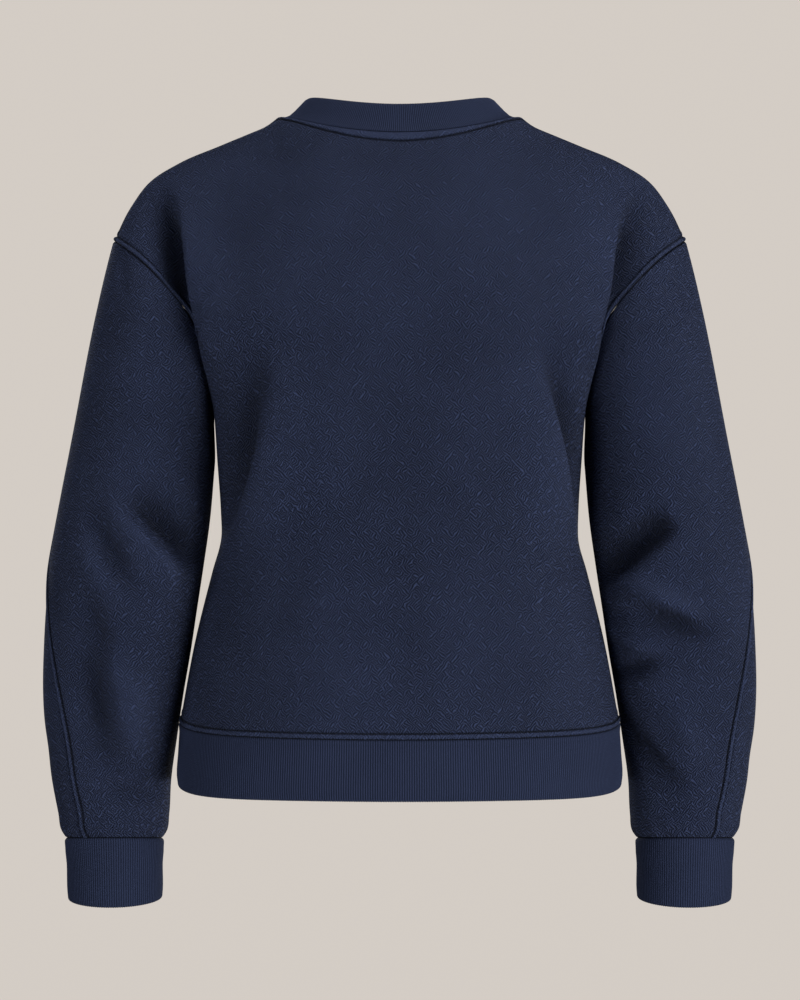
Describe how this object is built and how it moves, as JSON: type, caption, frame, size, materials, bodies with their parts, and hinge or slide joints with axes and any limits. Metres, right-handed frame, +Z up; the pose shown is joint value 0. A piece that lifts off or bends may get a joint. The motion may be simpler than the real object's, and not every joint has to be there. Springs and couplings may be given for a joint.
{
  "type": "crewneck sweatshirt",
  "caption": "Hollow worn-form crewneck sweatshirt of brushed fleece with dropped shoulders, full sleeves and ribbed neckband, cuffs and hem.",
  "frame": {"origin": "midway between the neck ends of the two shoulder seams, 1 mm above them, where a wearer's shoulders carry the garment", "axes": "+Z up, from hem to neck; -Y the way the wearer faces, so the front panel is on the -Y side; +X the wearer's left"},
  "size_m": [0.6266, 0.2491, 0.7125],
  "materials": {
    "fleece": "matte brushed cotton fleece, dark navy",
    "rib": "matte fine vertical rib knit, dark navy"
  },
  "bodies": {
    "root": {"back": "fleece", "front": "fleece", "sleeve_left_back": "fleece", "sleeve_left_front": "fleece", "sleeve_right_back": "fleece", "sleeve_right_front": "fleece", "neckband": "rib", "hem_band": "rib", "cuff_left": "rib", "cuff_right": "rib"}
  },
  "joints": []
}
